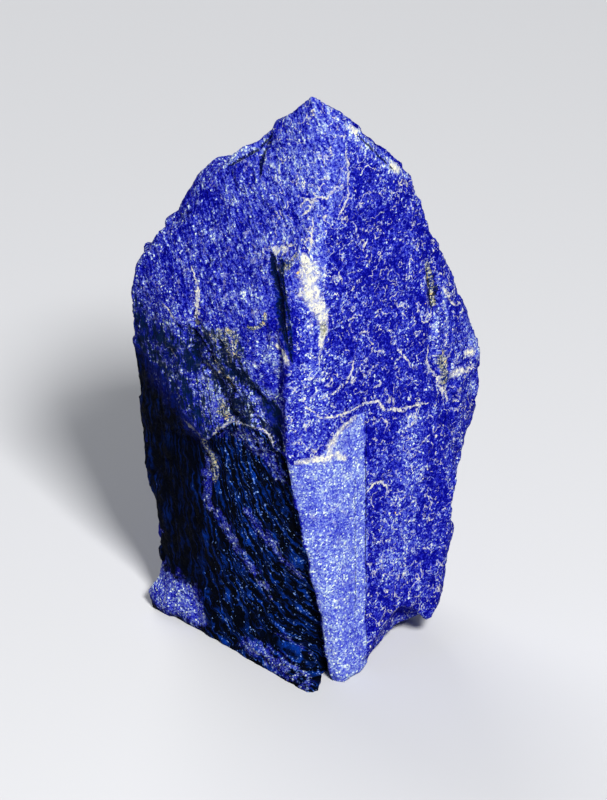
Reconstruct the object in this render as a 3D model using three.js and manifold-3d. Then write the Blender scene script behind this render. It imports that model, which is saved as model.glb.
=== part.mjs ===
// A rough piece of lapis lazuli, as broken from the vein: one solid stone that stands on a small flat base.
// Millimetres, +Z up. The front is -Y, the left is -X. The origin is the middle of the bounding box's floor.
//
// The stone is made the way it came to be: six blunt blocks of rock grown together, from which flakes were
// struck. A block is the convex hull of its corners. A flake scar is a shallow ellipsoid bite, and a chip, a
// cleft or the hollow under an overhang is a wedge taken out.

import * as THREE from 'three';
import { ConvexGeometry } from 'three/addons/geometries/ConvexGeometry.js';
import { mergeVertices } from 'three/addons/utils/BufferGeometryUtils.js';
import Module from 'manifold-3d';

const wasm = await Module();
wasm.setup();

// ---- Driving dimensions ---------------------------------------------------------------------------

const HEIGHT = 87; // base to peak
const LEFT = -25.3; // the left cheek, at its widest
const RIGHT = 25.8; // the right shoulder, at its widest
const BACK = 20; // the back of the base
const LIP = -18.3; // the front lip of the base, left of the nose

const SHALLOW = 5; // half thickness of a struck flake's ellipsoid, in scar depths: a shallow dish
const STEEP = 2.5; // the same for a scar with a steep rim
const FLAKE_DETAIL = 9; // facets along an edge of the ellipsoid's icosahedron

const LAPIS_BLUE = 0x2b35a8;
const STONE_ROUGHNESS = 0.62;

// ---- Geometry helpers -----------------------------------------------------------------------------

// A closed three.js geometry as a solid that can be joined and cut.
function solid(geometry) {
  const bare = geometry.clone();
  bare.deleteAttribute('normal');
  bare.deleteAttribute('uv');
  const merged = mergeVertices(bare, 1e-4);
  return new wasm.Manifold(new wasm.Mesh({
    numProp: 3,
    vertProperties: new Float32Array(merged.attributes.position.array),
    triVerts: new Uint32Array(merged.index.array),
  }));
}

// A solid as a three.js geometry.
function geometryOf(body) {
  const mesh = body.getMesh();
  const geometry = new THREE.BufferGeometry();
  geometry.setAttribute('position', new THREE.BufferAttribute(mesh.vertProperties, 3));
  geometry.setIndex(new THREE.BufferAttribute(mesh.triVerts, 1));
  return geometry;
}

// A block of rock: the hull of named corners.
function block(corners) {
  const points = Object.values(corners).map(([x, y, z]) => new THREE.Vector3(x, y, z));
  return solid(new ConvexGeometry(points));
}

// The rock that leaves when a flake is struck off: an ellipsoid over the point at, which looks along faces
// (azimuth from the front towards the right, elevation). The scar is wide and tall where it meets the surface
// and depth deep in its middle. lean turns its long axis clockwise, as seen from outside.
function flake({ at, faces, wide, tall, depth, lean = 0, rim = SHALLOW }) {
  const [azimuth, elevation] = faces.map(THREE.MathUtils.degToRad);
  const thickness = rim * depth;
  const spread = Math.sqrt(1 - (1 - 1 / rim) ** 2);
  const ball = new THREE.IcosahedronGeometry(1, FLAKE_DETAIL);
  ball.scale(wide / 2 / spread, thickness, tall / 2 / spread);
  ball.rotateY(THREE.MathUtils.degToRad(lean));
  ball.translate(0, depth - thickness, 0);
  ball.rotateX(-elevation);
  ball.rotateZ(azimuth);
  ball.translate(...at);
  return solid(ball);
}

// ---- The blocks -----------------------------------------------------------------------------------

// The upper mass: the roof face, the left cheek and the brow, whose lower edge is the ledge.
function upperMass() {
  return block({
    peak: [0.9, 0.5, HEIGHT],
    roofBreak: [-4.6, 2.5, 81.5],
    roofHigh: [-10.1, 3, 77.6],
    roofMid: [-17.3, 4, 69.5],
    roofLow: [-22.1, 4.5, 63],
    cheekTop: [-24.6, 4.5, 58.5],
    cheekHigh: [LEFT, 4.6, 54],
    cheekWide: [LEFT + 0.1, 5, 46.5],
    cheekMid: [-24.7, 5, 39.7],
    cheekLow: [-24.2, 5.5, 31],
    roofRight: [2.6, -6.2, 68.3],
    roofEdgeLeft: [-14.5, -3.3, 53.6],
    roofEdgeMid: [-8, -7, 54.4],
    roofEdgeRight: [-3, -7.5, 59],
    cheekEdgeHigh: [-19.2, -1.5, 52.3],
    cheekEdgeMid: [-18.6, -1.8, 46],
    ledgeCorner: [-17, -2.9, 36.9],
    ledgeLeft: [-14.7, -4.6, 34.9],
    ledgeRight: [-5, -9.2, 36.9],
    ledgeEnd: [-3, -9.9, 35.5],
    wallHigh: [-3, -9, 47],
    crestFrontRight: [5.3, -0.6, 83.9],
    crestFrontMid: [10.9, 2.2, 76.5],
    crestRight: [5.6, 0.8, 84.2],
    crestHigh: [8.6, 2.4, 80.1],
    crestMid: [11.4, 4, 76.5],
    crestLow: [13.5, 5.2, 74.2],
    crestEnd: [15.6, 6.4, 71.3],
    flankPeak: [16.2, 6.6, 68.8],
    flankHigh: [17.5, 6.8, 64.7],
    flankTop: [18, 6, 59],
    flankMid: [18, 4, 44],
    backLeftMid: [-21, 13.5, 33],
    backLeftHigh: [-19, 12.5, 54],
    backMid: [-3, 19.5, 35],
    backRightMid: [17, 16, 39],
    backRightHigh: [13, 14.5, 61],
    backHigh: [-11, 13.5, 67],
    backCrest: [2, 10, 77],
  });
}

// The lower mass: the long dark wall on the left, set back under the ledge, and most of the base.
function lowerMass() {
  return block({
    cheekMid: [-24.7, 5, 39.7],
    cheekLow: [-24.2, 5.5, 31],
    cheekShin: [-23.4, 6, 20],
    cheekFoot: [-22.2, 6.5, 8],
    cheekBase: [-21, 6.5, 0],
    wallHigh: [-3, -8.4, 46],
    wallMid: [-2.4, -9.8, 34],
    wallLow: [-0.9, -11.4, 22],
    wallShin: [-9.5, -6, 5],
    wallBase: [2.5, -13, 0],
    flankMid: [18, 4, 44],
    flankLow: [20.5, 0.5, 15.4],
    flankToe: [19.2, -2, 5.5],
    rightBase: [14, 6, 0],
    rightBaseFront: [9, -6, 0],
    backRightBase: [11, 16.5, 0],
    backBase: [-5, BACK, 0],
    backLeftBase: [-17, 15, 0],
    backLeftMid: [-21, 13.5, 33],
    backMid: [-3, 19.5, 35],
    backRightMid: [17, 16, 39],
    innerTop: [-4, 8, 56],
  });
}

// The nose: a slab that stands proud of the main mass, with the pale front strip and the big right-hand face.
function nose() {
  return block({
    ridgeTop: [-4.2, -5.5, 65],
    ridgeHigh: [-3.2, -8.8, 60],
    ridgeUpper: [-2.4, -10.8, 52],
    ridgeMid: [-3.1, -12.2, 41],
    ridgeLower: [-2.5, -12.7, 32],
    ridgeLow: [-0.9, -13.2, 27],
    ridgeShin: [1.4, -14.2, 14.5],
    toeLeft: [3.6, -15.2, 0],
    toe: [5.4, -15.6, 0],
    toeRight: [7.2, -13.6, 0],
    stripTop: [8.2, -6.6, 40],
    stripMid: [8.6, -9.6, 21],
    stripLow: [8.8, -12.3, 4.3],
    shoulderLeft: [2.6, -6.2, 68.3],
    faceUpper: [1.9, -8, 60],
    faceLeft: [2.2, -8.9, 54],
    faceLower: [-0.2, -12, 41],
    crestRight: [5.3, -0.6, 83.9],
    crestMid: [10.9, 2.2, 76.5],
    crestEnd: [14.8, 4.6, 71.1],
    flankHigh: [16.8, 5, 64.9],
    flankTop: [17.9, 4.7, 59],
    flankMid: [18, 2.2, 44],
    flankSwell: [20.6, 2.4, 32],
    flankBulge: [22.2, 2, 25],
    flankLow: [20.5, -1, 15.4],
    flankToe: [19.4, -3.7, 5.5],
    toeRim: [18.2, -4.7, 3.5],
    innerHigh: [6, 6, 71],
    innerLow: [6, 4, 0],
    innerRight: [16, 8, 3.5],
  });
}

// The right shoulder, which swells out behind the big face.
function shoulder() {
  return block({
    peak: [17.8, 7.6, 63.5],
    top: [20, 9.4, 55.4],
    upper: [22.6, 10.4, 49.8],
    high: [24.2, 10.8, 45.8],
    wide: [RIGHT - 0.1, 11, 40.6],
    wideLow: [RIGHT, 11, 36],
    under: [24.4, 11, 30.4],
    low: [23.4, 10.5, 26],
    lower: [22.2, 8.5, 21.6],
    tip: [21.3, 6, 17],
    grooveTop: [18, 5.8, 59],
    grooveHigh: [18.6, 4.9, 52],
    grooveMid: [19.2, 3.9, 43],
    grooveLow: [21, 3.6, 32],
    innerTop: [12, 10, 61],
    innerBack: [17, 16, 39],
    innerLow: [12, 10, 13],
  });
}

// The flared foot along the lower left edge, which ends in the lip beside the nose.
function foot() {
  return block({
    heelBase: [-23, 5, 0],
    rimLeft: [-19.6, 1.8, 4],
    rimMid: [-9.5, -7, 3.6],
    rimRight: [-0.6, -14.4, 4.6],
    lipBase: [0, LIP, 0],
    lipTip: [1.8, LIP + 0.4, 0],
    lipSide: [2.4, LIP + 1.6, 0.6],
    innerRight: [2.6, -13, 0],
    innerLeft: [-20, 10, 0],
  });
}

// The heel: a knob on the left end of the base.
function heel() {
  return block({
    base: [-23.5, 4.8, 0],
    side: [-23.9, 5.6, 2.3],
    top: [-23.3, 6.1, 5.8],
    crown: [-20.9, 3.6, 8.5],
    right: [-17.8, 0.6, 7.8],
    front: [-19.9, 0.8, 4],
    frontBase: [-20.6, 1.8, 0],
    innerTop: [-18, 8, 8],
    innerBase: [-15, 8, 0],
  });
}

// ---- What was struck off --------------------------------------------------------------------------

const SCARS = {
  underLedge: { at: [-9.4, -7.4, 35.2], faces: [-34, -2], wide: 10, tall: 6.5, depth: 1.3, rim: STEEP },
  notchAboveCheek: { at: [-19.8, 4.4, 66], faces: [-40, 55], wide: 5, tall: 14, depth: 0.9 },
  heelHollow: { at: [-22.4, 7.5, 12], faces: [-85, 0], wide: 12, tall: 12, depth: 0.6 },
  roofEdge: { at: [-8, 2.6, 79.5], faces: [-20, 60], wide: 13, tall: 3, depth: 0.7, lean: 24 },
  shoulderStep: { at: [25.4, 9, 32.5], faces: [60, -20], wide: 12, tall: 5, depth: 0.8 },
  // the back and the sides
  backSweep: { at: [-8, 19.5, 30], faces: [190, 0], wide: 38, tall: 74, depth: 2.4, lean: 8 },
  backRight: { at: [8, 18.4, 24], faces: [160, -4], wide: 24, tall: 58, depth: 2.2, lean: -10 },
  backShoulder: { at: [8, 13.5, 62], faces: [150, 24], wide: 22, tall: 24, depth: 1.6, lean: 24 },
  backLeft: { at: [-21, 13.5, 30], faces: [-122, 0], wide: 18, tall: 60, depth: 1.8, lean: 4 },
  backLeftHigh: { at: [-15, 11, 66], faces: [-140, 34], wide: 28, tall: 22, depth: 1.9, lean: -20 },
  backPeak: { at: [0, 8, 76], faces: [176, 44], wide: 16, tall: 14, depth: 1 },
  rightSide: { at: [17.5, 12.5, 15], faces: [122, -12], wide: 16, tall: 24, depth: 1.3, lean: 10 },
};

// The chip off the left of the front, up to a slanting wall under the roof edge.
function leftChip() {
  return block({
    edgeTop: [-19.3, -1.6, 52.6],
    edgeMid: [-18.6, -1.9, 46],
    edgeLow: [-16.6, -3, 38],
    wallTop: [-16.2, -1.8, 52.8],
    wallHigh: [-14.9, -3.1, 50.6],
    wallMid: [-12.6, -4.3, 47.6],
    wallLow: [-10.8, -5.8, 44.4],
    wallEnd: [-10, -5.8, 38],
    outTop: [-16.4, -4.6, 53],
    outHigh: [-15, -5.6, 50.8],
    outMid: [-12.7, -6.9, 47.8],
    outLow: [-10.7, -8.6, 44.6],
    outEnd: [-10, -8.8, 37],
    outLeft: [-20, -4, 45],
  });
}

// The cleft between the lip and the nose.
function cleft() {
  return block({
    mouthLeft: [2, -19, -1],
    mouthRight: [3.9, -18, -1],
    wallOut: [3.5, -15.2, -1],
    wallIn: [3.4, -13.6, -1],
    floorIn: [2.6, -13.6, -1],
    topOut: [0.9, -15.5, 16],
    topIn: [0.8, -12.5, 16],
  });
}

// The wedge missing under the lower edge of the big face, so that its toe hangs clear of the ground.
function underside() {
  return block({
    startFront: [8.2, -14, -1],
    startMid: [11, -3, -1],
    startBack: [15, 7, -1],
    startEnd: [21, 15, -1],
    farBack: [32, 15, -1],
    farFront: [32, -20, -1],
    rimStart: [8, -14, 2.6],
    rimEnd: [19.5, -5.5, 4.9],
    rimFar: [32, -20, 5],
    rimBack: [32, 6, 5],
  });
}

// The thin wedge missing under the back, which leaves the flat spot that the stone rests on.
function backUndercut() {
  return block({
    edgeLeft: [-32, 7, -1],
    edgeRight: [32, 10, -1],
    riseLeft: [-32, 26, 4.6],
    riseRight: [32, 26, 3.8],
    farLeft: [-32, 26, -1],
    farRight: [32, 26, -1],
  });
}

// The arch broken out of the toe's edge.
function arch() {
  return block({
    footOut: [7, -15.5, 2],
    slopeOut: [11, -12, 7],
    crownOut: [13.2, -10.5, 9.4],
    crownRightOut: [14.4, -9.5, 9.6],
    downOut: [16.2, -8.5, 6.5],
    endOut: [17.6, -7.6, 4.2],
    lowOut: [13, -12, 0],
    footIn: [8.5, -11, 1.4],
    crownIn: [13.6, -4, 6],
    endIn: [17.6, -2, 3.5],
    lowIn: [13, -3, 0],
  });
}

// ---- The stone ------------------------------------------------------------------------------------

function strike(rock, scars) {
  return Object.values(scars).reduce((left, scar) => left.subtract(flake(scar)), rock);
}

function stone() {
  const mass = upperMass().add(lowerMass()).add(foot()).subtract(leftChip());
  const rough = mass.add(nose()).add(shoulder()).add(heel());
  const missing = underside().add(backUndercut()).add(arch()).add(cleft());
  return geometryOf(strike(rough, SCARS).subtract(missing));
}

// Moves the stone so that the middle of its bounding box's floor is the origin.
function centred(geometry) {
  geometry.computeBoundingBox();
  const { min, max } = geometry.boundingBox;
  return geometry.translate(-(min.x + max.x) / 2, -(min.y + max.y) / 2, -min.z);
}

const lapis = new THREE.MeshStandardMaterial({ color: LAPIS_BLUE, roughness: STONE_ROUGHNESS, metalness: 0 });
const rock = new THREE.Mesh(centred(stone()), lapis);
rock.name = 'lapis_stone';

const model = new THREE.Group();
model.add(rock);

export default model;
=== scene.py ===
# %% [markdown]
# # A rough piece of lapis lazuli
# Lapis lazuli is a rock, not a crystal. Deep blue lazurite grains make most of it, white calcite runs
# through it in veins and clouds, and pyrite sprinkles it with brass. This piece is as broken from the vein:
# a steep roof on the left, a big flat face on the right, a pale strip down the nose between them and a dark
# ribbed wall below. The frame already holds the stone's plain solid. Here it gets a fine broken skin and its
# minerals. Sizes on the stone are in millimetres, and MM turns them into the metres that Blender counts in.

# %% Load the frame
import math

import bmesh
import bpy
import numpy as np
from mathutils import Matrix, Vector, noise
from mathutils.bvhtree import BVHTree


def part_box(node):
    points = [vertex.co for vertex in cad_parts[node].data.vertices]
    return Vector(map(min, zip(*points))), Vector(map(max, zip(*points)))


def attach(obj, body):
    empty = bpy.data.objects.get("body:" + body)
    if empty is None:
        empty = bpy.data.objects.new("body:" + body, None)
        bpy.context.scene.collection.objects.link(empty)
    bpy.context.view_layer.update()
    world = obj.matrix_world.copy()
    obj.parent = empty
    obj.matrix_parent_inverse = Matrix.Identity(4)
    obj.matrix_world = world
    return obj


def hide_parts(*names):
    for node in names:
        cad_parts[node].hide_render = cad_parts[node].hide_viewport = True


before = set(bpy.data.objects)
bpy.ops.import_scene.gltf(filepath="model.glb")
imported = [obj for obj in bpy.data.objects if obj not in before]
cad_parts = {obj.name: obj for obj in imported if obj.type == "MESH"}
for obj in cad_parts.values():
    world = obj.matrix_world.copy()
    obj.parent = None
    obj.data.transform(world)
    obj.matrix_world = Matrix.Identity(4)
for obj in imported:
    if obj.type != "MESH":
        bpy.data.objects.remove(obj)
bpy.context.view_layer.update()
MM = 0.001
cad_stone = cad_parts["lapis_stone"]
low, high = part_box("lapis_stone")
print("the stone is", [round((b - a) / MM, 1) for a, b in zip(low, high)], "mm wide, deep and tall")

# %% [markdown]
# ## The camera
# A stone is a small thing with upright edges. A wide lens close by would swell the nearest edge, and a view
# without any perspective would look like a drawing. So this is a long lens from a good arm's length, as in a
# mineral catalogue. It stands straight in front and looks down by 30 degrees, so the roof, the nose and the
# wall all show.

# %% Camera
ELEVATION = math.radians(30)
DISTANCE = 580 * MM
AIM = Vector((-0.7, -0.6, 38.9)) * MM
FOCAL_LENGTH, SENSOR_WIDTH = 180, 36

lens = bpy.data.cameras.new("long_lens")
lens.lens = FOCAL_LENGTH
lens.sensor_width = SENSOR_WIDTH
camera = bpy.data.objects.new("camera", lens)
camera.location = AIM + DISTANCE * Vector((0, -math.cos(ELEVATION), math.sin(ELEVATION)))
camera.rotation_euler = (AIM - camera.location).to_track_quat("-Z", "Y").to_euler()
bpy.context.scene.collection.objects.link(camera)
bpy.context.scene.camera = camera
print("the camera is", round(DISTANCE, 2), "m from the stone")

# %% [markdown]
# ## Floor and light
# A mineral is shown on plain paper. Light from all round would flatten the stone, because a broken face is
# only seen by its shadows. So one small soft lamp, high and a little to the right of the camera, rakes over
# the faces, and each ledge and rib throws a small shadow. A broad weak lamp shows the back, and a dim
# blue-grey world keeps the wall on the left dark but not black.

# %% Floor
FLOOR_SIZE = 6.0
PALE_GREY = (0.56, 0.56, 0.57, 1)

bpy.ops.mesh.primitive_plane_add(size=FLOOR_SIZE)
floor = bpy.context.object
floor.name = "floor"
pale_floor = bpy.data.materials.new("pale_floor")
pale_floor.use_nodes = True
paper = pale_floor.node_tree.nodes["Principled BSDF"]
paper.inputs["Base Color"].default_value = PALE_GREY
paper.inputs["Roughness"].default_value = 0.9
floor.data.materials.append(pale_floor)
print("floor", FLOOR_SIZE, "m wide")

# %% Lamps
def softbox(name, azimuth, elevation, distance, size, watts):
    """A square lamp that faces the stone. Azimuth turns from the front towards the right."""
    lamp = bpy.data.lights.new(name, "AREA")
    lamp.shape = "SQUARE"
    lamp.size = size
    lamp.energy = watts
    holder = bpy.data.objects.new(name, lamp)
    turn, tilt = math.radians(azimuth), math.radians(elevation)
    away = Vector((math.sin(turn) * math.cos(tilt), -math.cos(turn) * math.cos(tilt), math.sin(tilt)))
    holder.location = AIM + distance * away
    holder.rotation_euler = (-away).to_track_quat("-Z", "Y").to_euler()
    bpy.context.scene.collection.objects.link(holder)
    print(name, watts, "watts, from", azimuth, "degrees")


softbox("key_lamp", azimuth=19, elevation=45, distance=0.9, size=0.18, watts=13)
softbox("back_lamp", azimuth=205, elevation=32, distance=1.2, size=0.8, watts=9)

# %% World
DIM_SKY = (0.66, 0.8, 1.0, 1)
SKY_STRENGTH = 0.1

world = bpy.data.worlds.new("studio")
world.use_nodes = True
sky = world.node_tree.nodes["Background"]
sky.inputs["Color"].default_value = DIM_SKY
sky.inputs["Strength"].default_value = SKY_STRENGTH
bpy.context.scene.world = world
bpy.context.scene.view_settings.view_transform = "Standard"
print("the world's strength is", SKY_STRENGTH)

# %% [markdown]
# ## A fine skin
# Broken rock is rough down to the single grain. The solid has a few thousand long flat triangles, which is
# right for a simulator and too coarse for the eye. Subdividing would leave the long ones long. A voxel remesh
# wraps a copy of the solid in small even squares instead, so every part of it can be pushed in or out. Where
# blocks of the solid meet inside, the wrap can leave a tiny closed bubble, so whatever isn't joined to the
# peak is dropped.

# %% Skin the stone
VOXEL = 0.38 * MM

stone = bpy.data.objects.new("rough_lapis", cad_stone.data.copy())
bpy.context.scene.collection.objects.link(stone)
wrap = stone.modifiers.new("wrap", "REMESH")
wrap.mode = "VOXEL"
wrap.voxel_size = VOXEL
wrapped = bpy.data.meshes.new_from_object(stone.evaluated_get(bpy.context.evaluated_depsgraph_get()))
stone.modifiers.clear()
stone.data = wrapped
stone.data.materials.clear()
print("skin of", len(wrapped.vertices), "points and", len(wrapped.polygons), "squares")

# %% Drop the bubble
shell = bmesh.new()
shell.from_mesh(wrapped)
peak = max(shell.verts, key=lambda point: point.co.z)
joined, waiting = {peak}, [peak]
while waiting:
    point = waiting.pop()
    for edge in point.link_edges:
        other = edge.other_vert(point)
        if other not in joined:
            joined.add(other)
            waiting.append(other)
loose = [point for point in shell.verts if point not in joined]
bmesh.ops.delete(shell, geom=loose, context="VERTS")
shell.to_mesh(wrapped)
shell.free()
print("dropped", len(loose), "points that hung together with nothing")

# %% [markdown]
# ## All points at once
# Chipping a stone is thousands of small moves. Moving a hundred thousand points one by one in Python is slow,
# and sculpting them by hand can't be repeated. Read into arrays, they move in a few sums: place is where each
# point is, and outward is which way it faces. Averaging a point with its neighbours comes back again and
# again below, to soften a value or to find what sticks out.

# %% Points, normals and neighbours
def column(items, field, width):
    """Reads one field of many mesh items into an array with that many columns."""
    flat = np.zeros(len(items) * width)
    items.foreach_get(field, flat)
    return flat.reshape(-1, width)


place = column(wrapped.vertices, "co", 3) / MM
outward = column(wrapped.vertices, "normal", 3)
edges = np.zeros(len(wrapped.edges) * 2, int)
wrapped.edges.foreach_get("vertices", edges)
left_end, right_end = edges.reshape(-1, 2).T
links = np.bincount(edges, minlength=len(place))
print("each point has", round(links.mean(), 2), "neighbours")

# %% Averages of neighbours
def neighbours(values):
    """The sum of each point's neighbours."""
    return (np.bincount(left_end, values[right_end], len(links))
            + np.bincount(right_end, values[left_end], len(links)))


def spread(values, rounds, share=1.0):
    """Averages each point's value with its neighbours', several times over."""
    if values.ndim == 2:
        return np.column_stack([spread(part, rounds, share) for part in values.T])
    for _ in range(rounds):
        values = values + 0.5 * share * (neighbours(values) / links - values)
    return values


def unit(arrows):
    """The same directions with length 1."""
    return arrows / np.linalg.norm(arrows, axis=1, keepdims=True)


outward = unit(spread(outward, 3))
print("softened", len(outward), "directions")

# %% [markdown]
# ## Which face is each point on?
# A stone's faces differ: the wall is ribbed, the strip is smooth, the roof is streaked. They could be painted
# on by hand, but that would be done again after each change of the skin. The plain solid already knows the
# direction of each face, so each point of the skin asks the nearest flat face which way it looks.

# %% Ask the solid
solid_tree = BVHTree.FromObject(cad_stone, bpy.context.evaluated_depsgraph_get())
looks = unit(spread(np.array([solid_tree.find_nearest(Vector(p) * MM)[1] for p in place]), 3))
x, y, z = place.T


def step(values, start, end):
    """A smooth rise from 0 at start to 1 at end."""
    t = np.clip((values - start) / (end - start), 0, 1)
    return t * t * (3 - 2 * t)


front = step(-looks[:, 1], 0.02, 0.3) * step(y, 13, 11)
back = step(looks[:, 1], 0.1, 0.4)
print("points on the front:", int((front > 0.5).sum()), "and on the back:", int((back > 0.5).sum()))

# %% [markdown]
# ## Faces and their borders
# A broken stone has a few large faces, and each has its own colour and its own tear. Their borders are drawn
# here as lines on the front, as (x, z) in millimetres. An image could hold them too, but a line stays sharp
# at any size and is easy to shift. Each face is then a number per point: how many millimetres the point lies
# inside its border. The material cuts that number crisply later, however coarse the skin is.

# %% Borders
RIDGE = [(-5.1, 66), (-2.3, 52), (-3.3, 44), (-2.8, 33), (-1.2, 26.6), (0, 19.8), (1.1, 14.4), (2, 8.3),
         (3.4, 0)]
STRIP_RIGHT = [(7.6, 45), (8, 40), (8.3, 31.7), (8.5, 22.4), (8.6, 13.1), (8.5, 0)]
STRIP_TOP = [(-4, 35.2), (-1.5, 35.6), (1.4, 36.2), (3.4, 37.6), (4.8, 38.9), (7.4, 40.3), (9, 41)]
ROOF_RIGHT = [(5.8, 84), (5.4, 78.5), (5.4, 73.5), (4.1, 70.8), (2.3, 68.3), (1.6, 64), (0, 58)]
ROOF_LOW = [(-26, 56), (-19, 52.8), (-15.4, 53.6), (-12.7, 53.3), (-9.4, 54.2), (-7.1, 55.1), (-4, 60)]
LEDGE = [(-26, 46), (-21, 43), (-17.8, 38), (-15, 34), (-14, 35.4), (-12.9, 37), (-10.7, 38.6),
         (-8.2, 39.2), (-5.9, 38), (-5.2, 36.4), (-3, 35)]
GROOVE = [(15.9, 67.5, 0.9), (17.6, 59, 0.9), (18, 52.8, 0.9), (17.8, 44, 0.9), (19.3, 39.6, 0.9),
          (20.8, 32, 0.9), (21.6, 25, 0.9)]


def x_of(line):
    """The line's x at each point's height."""
    ordered = sorted(line, key=lambda corner: corner[1])
    return np.interp(z, [corner[1] for corner in ordered], [corner[0] for corner in ordered])


def z_of(line):
    """The line's height at each point's x."""
    ordered = sorted(line)
    return np.interp(x, [corner[0] for corner in ordered], [corner[1] for corner in ordered])


print("the ridge runs down from x", RIDGE[0][0], "to x", RIDGE[-1][0], "mm")

# %% Measure the faces
STRIP_BACK, ROOF_BACK, NOSE_BACK = 6, 8, 9
SHOULDER_LOW = 14
RIDGE_EDGE, GROOVE_EDGE, BORDER = 0.2, 0.4, 0.4
WALL_GONE, WALL_WHOLE = 12, 2

in_strip = np.minimum.reduce([x - x_of(RIDGE), x_of(STRIP_RIGHT) - x, z_of(STRIP_TOP) - z, STRIP_BACK - y])
in_roof = np.minimum.reduce([x_of(ROOF_RIGHT) - x, z - z_of(ROOF_LOW), ROOF_BACK - y])
in_wall = np.minimum(x_of(RIDGE) - RIDGE_EDGE - x, z_of(LEDGE) - z)
in_shoulder = np.minimum(x - x_of(GROOVE) - GROOVE_EDGE, z - SHOULDER_LOW)
right_of_nose = np.minimum(x - x_of(RIDGE), NOSE_BACK - y)
faces = (in_roof, in_strip, in_wall, in_shoulder)
roof, strip, wall, shoulder = (step(inside, -BORDER, BORDER) for inside in faces)
wall_end = step(y, WALL_GONE, WALL_WHOLE)
wall *= wall_end
for name, face in (("roof", roof), ("strip", strip), ("wall", wall), ("shoulder", shoulder)):
    print(name, "covers", round(100 * face.mean(), 1), "% of the skin")

# %% [markdown]
# ## Gloom under the brow
# Between the roof's lower edge, the brow, and the ledge the stone steps back, and little light gets in. At
# the far left the dark wall begins just below. A border there would be a hard line, which no rock has, and
# blurring it would look painted. So a patch of gloom is kept as a number too: weak in the middle, and strong
# on both sides of that line.

# %% Under the brow
BROW_SIDE = [(-3, 45), (-7.2, 46.2), (-8.6, 50), (-9.7, 54.2)]
WEAK_GLOOM, LEFT_GLOOM, BORDER_GLOOM, DEEPEST_GLOOM = 0.14, 0.5, 0.6, 0.72

softness = 0.5 + 5 * step(-x, 14, 19)
below_brow = step(z_of(ROOF_LOW) - z, -0.7 * softness, softness) * step(z - z_of(LEDGE), -0.5, 0.5) * front
below_brow *= step(x_of(RIDGE) - x, 0, 1.5) * step(x_of(BROW_SIDE) - x, -0.8, 1.2)
left_border = step(np.abs(z_of(LEDGE) - z), 8, 0) * step(-x, 12.5, 17.5) * wall_end
gloom = below_brow * (WEAK_GLOOM + LEFT_GLOOM * step(-x, 13.5, 17.5))
gloom = np.minimum(gloom + BORDER_GLOOM * left_border, DEEPEST_GLOOM)
print("gloom up to", round(gloom.max(), 2))

# %% [markdown]
# ## Marks
# Cracks and veins are thin sheets that run into the rock, and on the surface each comes out as a line. An
# image would have to be huge to hold such hair-thin lines. So a mark is a line too: (x, z, half width) at
# each corner, in millimetres, and every point of the skin measures how near it is to the nearest one.

# %% How near is a mark?
FAR = 30.0


def near(lines, where=front):
    """How near each point is to the nearest line, counted in that line's own half widths: 1 is on its border.
    The second result is the same with a minus sign on one side of the line, so it runs straight through 0.
    Only the front of the stone is marked, unless another part is given."""
    best = np.full(len(place), FAR)
    signed = best.copy()
    for line in lines:
        for (ax, az, aw), (bx, bz, bw) in zip(line, line[1:]):
            run, climb = bx - ax, bz - az
            t = np.clip(((x - ax) * run + (z - az) * climb) / (run ** 2 + climb ** 2), 0, 1)
            share = np.hypot(x - ax - t * run, z - az - t * climb) / (aw + t * (bw - aw))
            side = np.where(run * (z - az) - climb * (x - ax) < 0, -1, 1)
            closer = share < best
            best = np.where(closer, share, best)
            signed = np.where(closer, side * share, signed)
    return best + FAR * (1 - where), signed


def mark(lines, start, end):
    """1 on the lines as far as start, in half widths, then falling to 0 at end."""
    return 1 - step(near(lines)[0], start, end)


print("groove points:", int((near([GROOVE])[0] < 1).sum()))

# %% [markdown]
# ## The foot runs out of the wall
# At the bottom the dark wall doesn't stop at a shelf: it bends out softly into the foot. A rounded block in
# the solid would show its own outline. Averaging only the points near that crease, many times over, stretches
# the skin across it like a soap film.

# %% Soften the foot
FOOT_CREASE = [(-18.6, 6.6, 1), (-17.7, 5.8, 1), (-14.6, 5.1, 1), (-10.8, 4, 1), (-6.8, 2.8, 1),
               (-2.7, 2, 1)]
SOFTEN_ROUNDS = 400

crease = step(near([FOOT_CREASE], where=1)[0], 5.5, 3.5) * step(z, 0.5, 1.4) * step(y, 7, 4)
place = spread(place, SOFTEN_ROUNDS, crease)
outward = unit(spread(outward, SOFTEN_ROUNDS // 3, crease))
print("softened", int((crease > 0.5).sum()), "points")

# %% [markdown]
# ## Broken rock
# Rock breaks at every size at once: big soft swells, chips on them, and on the back the shallow scars of
# large flakes. Displace modifiers could add each of these all over, but each face of a stone breaks in its
# own way. So each ingredient is a number per point, and every face mixes its own share of them.

# %% Swells
def wander(points, size, octaves, seed):
    """A soft random value at each point, from about -1 to 1, with swells of that size in mm."""
    shift = Vector((17.3, 5.1, -9.7)) * seed
    return np.array([noise.fractal(Vector(p) / size + shift, 1.0, 2.0, octaves) for p in points])


warped = place + 0.9 * np.column_stack([wander(place, 3, 2, seed) for seed in (1, 2, 3)])
swell = wander(place, 13, 2, seed=4)
print("swell from", round(swell.min(), 2), "to", round(swell.max(), 2))

# %% Chips and scars
BIG_CHIP, SMALL_CHIP, SCAR = 5.5, 1.9, 13


def chips(points, size, seed):
    """Small facets of that size in mm. Space is cut into cells, and each cell tips its own way."""
    shift = Vector((3.7, -8.2, 12.9)) * seed
    heights = np.zeros(len(points))
    for i, p in enumerate(points):
        spot = Vector(p) / size + shift
        centre = noise.voronoi(spot)[1][0]
        tip = noise.cell_vector(centre * 31.7) - Vector((0.5, 0.5, 0.5))
        heights[i] = (spot - centre).dot(tip) * size
    return heights


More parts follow.
